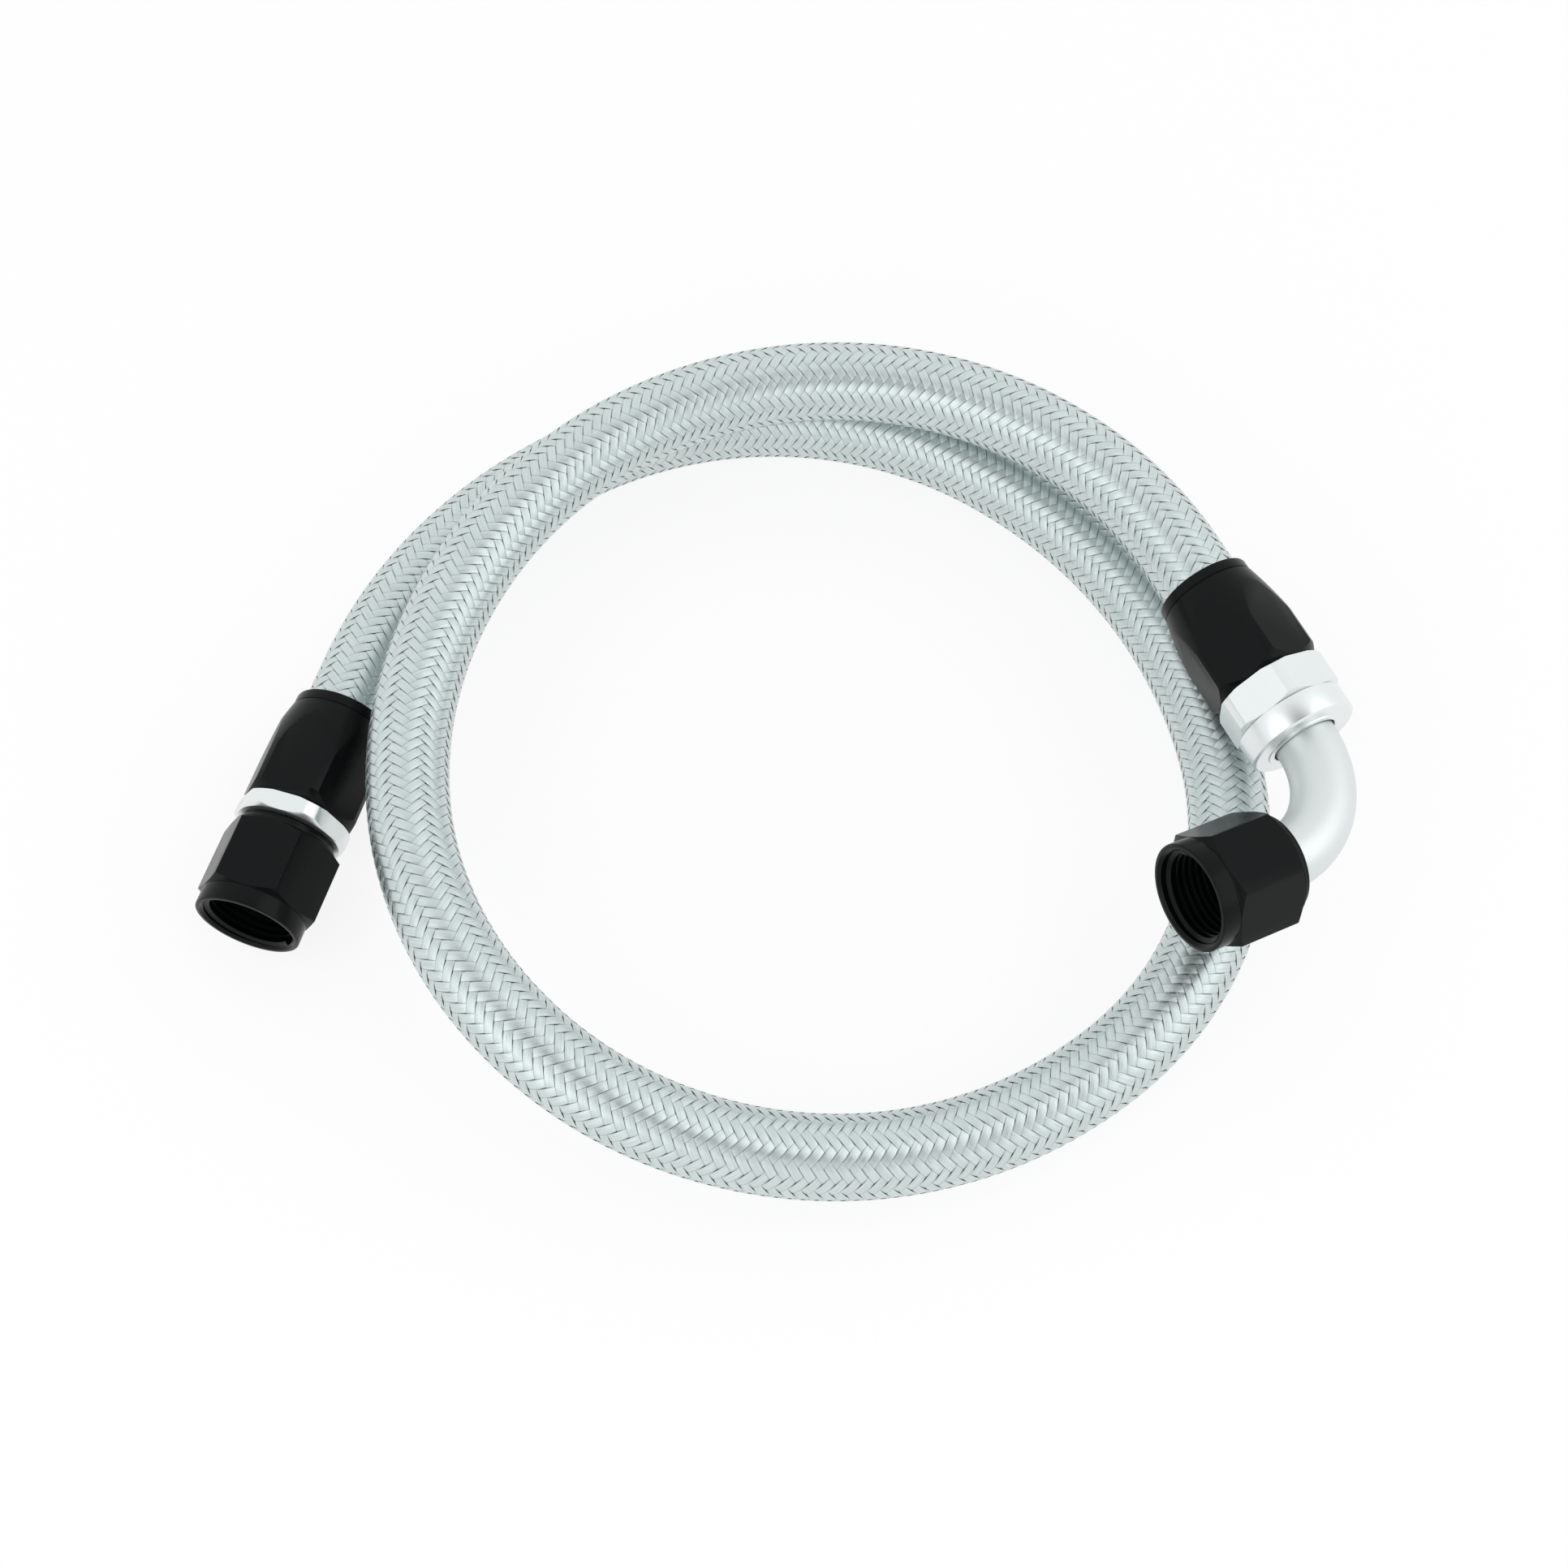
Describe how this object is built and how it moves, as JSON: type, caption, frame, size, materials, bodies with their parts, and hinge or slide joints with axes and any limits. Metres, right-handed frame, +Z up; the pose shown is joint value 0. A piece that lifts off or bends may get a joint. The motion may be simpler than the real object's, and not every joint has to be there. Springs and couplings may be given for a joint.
{
  "type": "hydraulic hose assembly",
  "caption": "Braided flexible hose laid in a loose coil, with a straight swivel fitting on its lower end and a right-angle swivel fitting on its upper end.",
  "frame": {"origin": "centre of the coil's bounding box, on the surface it lies on", "axes": "+Z up out of the coil's plane, +X towards the right-angle fitting, +Y away from both nuts' mouths"},
  "size_m": [0.2738, 0.2204, 0.0581],
  "materials": {
    "steel_braid": "woven bright stainless wire",
    "rubber": "matt",
    "cotton": "woven",
    "black_anodised": "glossy black anodised",
    "silver_anodised": "bright clear anodised",
    "satin_silver": "satin clear anodised",
    "nylon": "plain",
    "steel_wire": "plain"
  },
  "bodies": {
    "hose": {"hose_liner": "rubber", "hose_inner_braid": "cotton", "hose_cover_tube": "rubber", "hose_braid": "steel_braid", "straight_socket": "black_anodised", "straight_nipple": "silver_anodised", "straight_seal_ring": "rubber", "straight_nose": "silver_anodised", "straight_retaining_wire": "steel_wire", "elbow_socket": "black_anodised", "elbow_nipple": "silver_anodised", "elbow_gland": "silver_anodised", "elbow_thrust_ring": "nylon"},
    "straight_nut": {"straight_nut": "black_anodised"},
    "elbow": {"elbow_tube": "satin_silver", "elbow_front_seal_ring": "rubber", "elbow_rear_seal_ring": "rubber", "elbow_nose": "silver_anodised", "elbow_retaining_wire": "steel_wire"},
    "elbow_nut": {"elbow_nut": "black_anodised"}
  },
  "joints": [
    {"name": "straight_nut_spin", "type": "hinge", "parent": "hose", "child": "straight_nut", "pos_m": [-0.12072, -0.03312, 0.01689], "axis": [-0.2917, -0.954, 0.0698], "continuous": true},
    {"name": "elbow_swivel", "type": "hinge", "parent": "hose", "child": "elbow", "pos_m": [0.12229, 0.00083, 0.03458], "axis": [-0.4539, 0.891, -0.0109], "range_deg": [-8, 190]},
    {"name": "elbow_nut_spin", "type": "hinge", "parent": "elbow", "child": "elbow_nut", "pos_m": [0.10376, -0.04375, 0.04289], "axis": [-0.8719, -0.4415, 0.212], "continuous": true}
  ]
}
